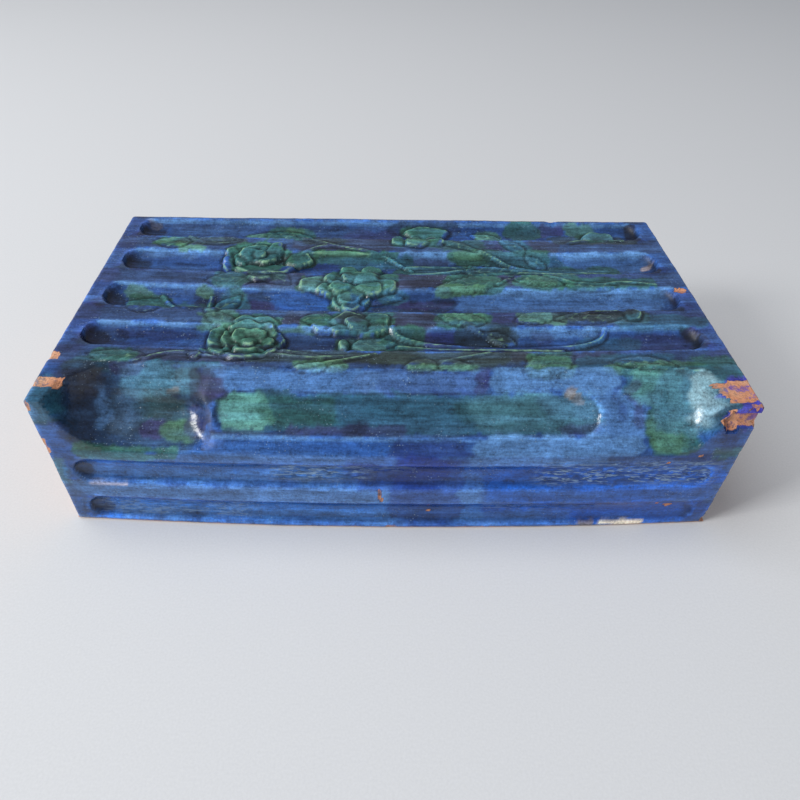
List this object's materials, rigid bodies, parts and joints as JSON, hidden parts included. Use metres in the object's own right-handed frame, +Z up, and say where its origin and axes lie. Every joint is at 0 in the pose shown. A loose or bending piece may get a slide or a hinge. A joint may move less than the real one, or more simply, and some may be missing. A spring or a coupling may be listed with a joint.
{
  "type": "corner stove tile",
  "caption": "Hollow fluted corner tile for a tiled stove, canted at its corner between scooped stops, with moulded rose sprays under blue glaze.",
  "frame": {"origin": "centre of the rectangle that the tile covers, on the surface it lies on", "axes": "+X along the tile's length, +Y from the narrow return face towards the far edge of the wide face, +Z up out of the wide face"},
  "size_m": [0.4232, 0.2314, 0.109],
  "materials": {
    "glazed_earthenware": "gloss"
  },
  "bodies": {
    "root": {"stove_tile": "glazed_earthenware"}
  },
  "joints": []
}
